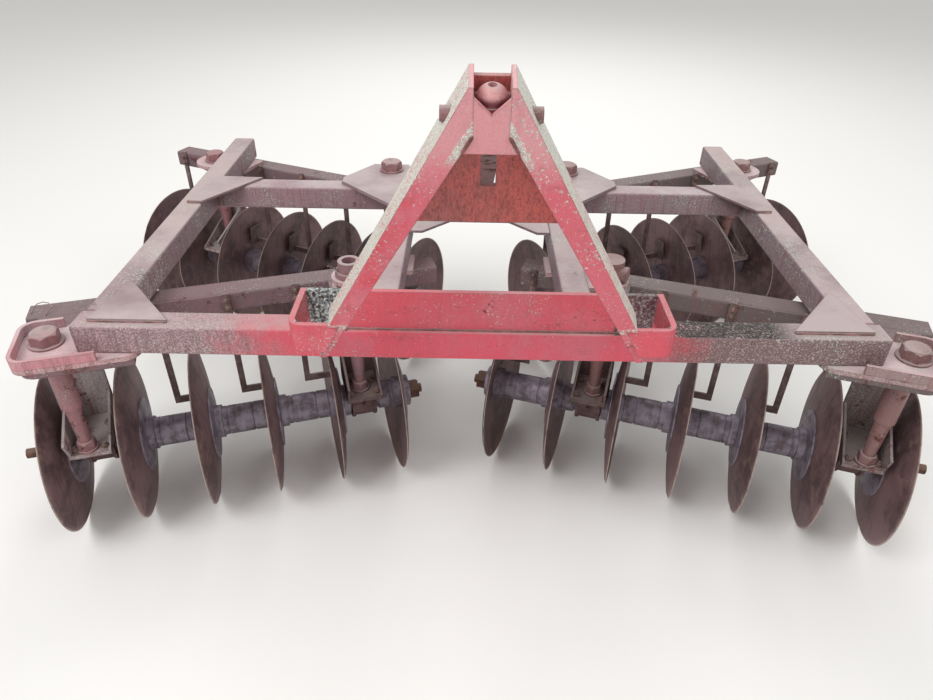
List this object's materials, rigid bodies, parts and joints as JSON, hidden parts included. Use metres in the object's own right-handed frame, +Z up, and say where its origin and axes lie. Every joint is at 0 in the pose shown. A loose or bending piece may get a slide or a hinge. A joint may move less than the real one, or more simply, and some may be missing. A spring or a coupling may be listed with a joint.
{
  "type": "disc harrow",
  "caption": "Mounted tandem disc harrow with four angled gangs of concave discs on a square tube frame, carried by a leaning triangular quick hitch; old red paint, rust and dust.",
  "frame": {"origin": "on the ground under the middle of the machine: the middle of its bounding box seen from above", "axes": "+X to the right of the picture, which looks at the hitch; +Y from the hitch to the rear; +Z up"},
  "size_m": [3.0144, 2.0294, 1.4571],
  "materials": {
    "bright_red_paint": "satin, worn",
    "faded_red_paint": "matte, rusty",
    "rusty_purple_paint": "matte, dusty",
    "rusty_disc_steel": "rough, streaked",
    "polished_spools": "satin",
    "dark_rusty_iron": "rough"
  },
  "bodies": {
    "frame": {"front_beam": "bright_red_paint", "side_rail_left": "rusty_purple_paint", "side_rail_right": "rusty_purple_paint", "rear_crossbeam": "rusty_purple_paint", "inner_rail_left": "rusty_purple_paint", "inner_rail_right": "rusty_purple_paint", "frame_end_caps": "rusty_purple_paint", "corner_gussets": "rusty_purple_paint", "pivot_plates": "rusty_purple_paint", "mast_foot_plate": "rusty_purple_paint", "gang_brackets": "rusty_purple_paint", "bracket_rims": "bright_red_paint", "hitch_leg_left": "bright_red_paint", "hitch_leg_right": "bright_red_paint", "hitch_front_plate": "bright_red_paint", "hitch_latch_plate": "faded_red_paint", "hitch_cap": "faded_red_paint", "hitch_pin": "faded_red_paint", "hitch_strap": "bright_red_paint", "hitch_stay": "faded_red_paint", "front_left_beam": "rusty_purple_paint", "front_right_beam": "rusty_purple_paint", "rear_left_beam": "rusty_purple_paint", "rear_right_beam": "rusty_purple_paint", "front_hangers": "rusty_purple_paint", "rear_hangers": "rusty_purple_paint", "front_bearings": "dark_rusty_iron", "rear_bearings": "dark_rusty_iron", "front_pivots": "faded_red_paint", "rear_pivots": "faded_red_paint", "front_scrapers": "dark_rusty_iron", "rear_scrapers": "dark_rusty_iron"},
    "front_left_rotor": {"front_left_discs": "rusty_disc_steel", "front_left_spools": "polished_spools", "front_left_axle": "dark_rusty_iron"},
    "front_right_rotor": {"front_right_discs": "rusty_disc_steel", "front_right_spools": "polished_spools", "front_right_axle": "dark_rusty_iron"},
    "rear_left_rotor": {"rear_left_discs": "rusty_disc_steel", "rear_left_spools": "polished_spools", "rear_left_axle": "dark_rusty_iron"},
    "rear_right_rotor": {"rear_right_discs": "rusty_disc_steel", "rear_right_spools": "polished_spools", "rear_right_axle": "dark_rusty_iron"}
  },
  "joints": [
    {"name": "front_left_gang_turn", "type": "hinge", "parent": "frame", "child": "front_left_rotor", "pos_m": [-0.67183, -0.4195, 0.255], "axis": [0.9553, 0.2957, 0], "continuous": true},
    {"name": "front_right_gang_turn", "type": "hinge", "parent": "frame", "child": "front_right_rotor", "pos_m": [0.67183, -0.4195, 0.255], "axis": [-0.9553, 0.2957, 0], "continuous": true},
    {"name": "rear_left_gang_turn", "type": "hinge", "parent": "frame", "child": "rear_left_rotor", "pos_m": [-0.79312, 0.54658, 0.255], "axis": [-0.9219, 0.3875, 0], "continuous": true},
    {"name": "rear_right_gang_turn", "type": "hinge", "parent": "frame", "child": "rear_right_rotor", "pos_m": [0.79312, 0.54658, 0.255], "axis": [0.9219, 0.3875, 0], "continuous": true}
  ]
}
